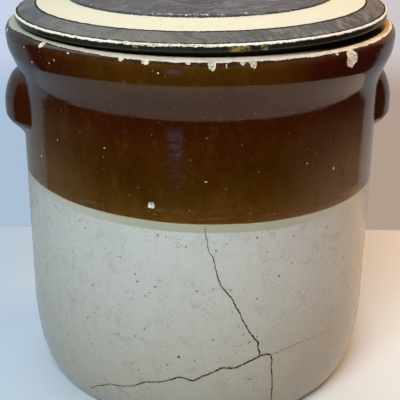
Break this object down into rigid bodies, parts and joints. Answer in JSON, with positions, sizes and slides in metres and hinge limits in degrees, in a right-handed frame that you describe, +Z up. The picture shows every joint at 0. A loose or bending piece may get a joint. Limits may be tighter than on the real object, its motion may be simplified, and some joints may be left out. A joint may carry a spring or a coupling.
{
  "type": "lidded stoneware bean pot",
  "caption": "Straight-sided stoneware pot with a rolled collar, lug ears and a loose lift-off lid, brown glaze above a pale lower half.",
  "frame": {"origin": "centre of the flat base, on the surface the pot stands on", "axes": "+Z up through the mouth, +X through the right ear, -Y towards the front"},
  "size_m": [0.2776, 0.2696, 0.3041],
  "materials": {
    "two_tone_glaze": "gloss",
    "brown_glaze": "gloss",
    "black_glaze": "gloss"
  },
  "bodies": {
    "pot": {"pot_body": "two_tone_glaze", "ear_handle_left": "brown_glaze", "ear_handle_right": "brown_glaze"},
    "lid": {"lid": "black_glaze", "lid_knob": "black_glaze"}
  },
  "joints": [
    {"name": "lid_lift", "type": "slide", "parent": "pot", "child": "lid", "axis": [0, 0, 1], "range_m": [0, 0.15]}
  ]
}
